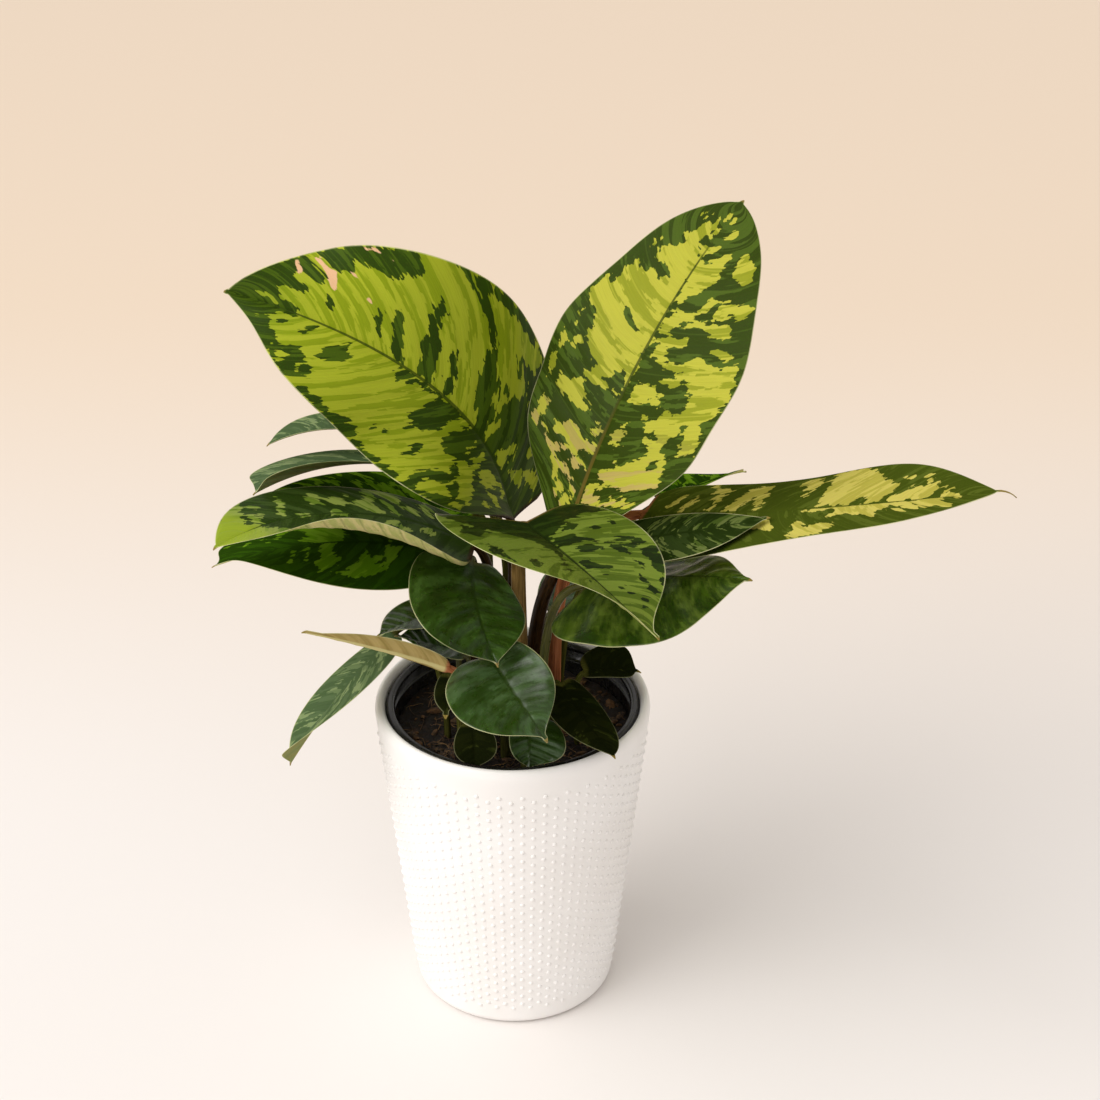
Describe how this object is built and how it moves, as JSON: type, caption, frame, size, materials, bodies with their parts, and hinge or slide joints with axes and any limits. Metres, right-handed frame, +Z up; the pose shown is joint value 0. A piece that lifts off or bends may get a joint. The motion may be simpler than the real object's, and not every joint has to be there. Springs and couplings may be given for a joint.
{
  "type": "potted house plant",
  "caption": "House plant with broad variegated leaves on upright stalks, in a black nursery pot inside a tapered white ceramic pot with a raised dot relief.",
  "frame": {"origin": "middle of the ceramic pot's flat base", "axes": "+Z up along the pot's axis; +Y to the back, away from the camera of the picture; +X to the right"},
  "size_m": [0.3414, 0.2113, 0.3771],
  "materials": {
    "white_glaze": "satin",
    "black_plastic": "gloss",
    "soil": "matte",
    "leaf_tall_left_skin": "satin",
    "leaf_tall_right_skin": "satin",
    "leaf_long_right_skin": "satin",
    "leaf_short_right_skin": "satin",
    "leaf_back_right_skin": "satin",
    "leaf_front_arching_skin": "satin",
    "leaf_left_upper_skin": "satin",
    "leaf_left_lower_skin": "satin",
    "leaf_left_behind_skin": "satin",
    "leaf_back_left_high_skin": "satin",
    "leaf_back_left_low_skin": "satin",
    "leaf_front_drooping_skin": "satin",
    "leaf_front_heart_skin": "satin",
    "leaf_unfurling_skin": "satin",
    "leaf_hanging_left_skin": "satin",
    "leaf_small_left_high_skin": "satin",
    "leaf_small_left_low_skin": "satin",
    "leaf_right_broad_skin": "satin",
    "leaf_small_right_skin": "satin",
    "leaf_low_right_skin": "satin",
    "leaf_low_front_skin": "satin",
    "leaf_low_front_left_skin": "satin",
    "leaf_low_left_skin": "satin",
    "leaf_low_back_left_skin": "satin",
    "leaf_low_back_right_skin": "satin"
  },
  "bodies": {
    "root": {"ceramic_pot": "white_glaze", "nursery_pot": "black_plastic", "soil": "soil", "leaf_tall_left": "leaf_tall_left_skin", "leaf_tall_right": "leaf_tall_right_skin", "leaf_long_right": "leaf_long_right_skin", "leaf_short_right": "leaf_short_right_skin", "leaf_back_right": "leaf_back_right_skin", "leaf_front_arching": "leaf_front_arching_skin", "leaf_left_upper": "leaf_left_upper_skin", "leaf_left_lower": "leaf_left_lower_skin", "leaf_left_behind": "leaf_left_behind_skin", "leaf_back_left_high": "leaf_back_left_high_skin", "leaf_back_left_low": "leaf_back_left_low_skin", "leaf_front_drooping": "leaf_front_drooping_skin", "leaf_front_heart": "leaf_front_heart_skin", "leaf_unfurling": "leaf_unfurling_skin", "leaf_hanging_left": "leaf_hanging_left_skin", "leaf_small_left_high": "leaf_small_left_high_skin", "leaf_small_left_low": "leaf_small_left_low_skin", "leaf_right_broad": "leaf_right_broad_skin", "leaf_small_right": "leaf_small_right_skin", "leaf_low_right": "leaf_low_right_skin", "leaf_low_front": "leaf_low_front_skin", "leaf_low_front_left": "leaf_low_front_left_skin", "leaf_low_left": "leaf_low_left_skin", "leaf_low_back_left": "leaf_low_back_left_skin", "leaf_low_back_right": "leaf_low_back_right_skin"}
  },
  "joints": []
}
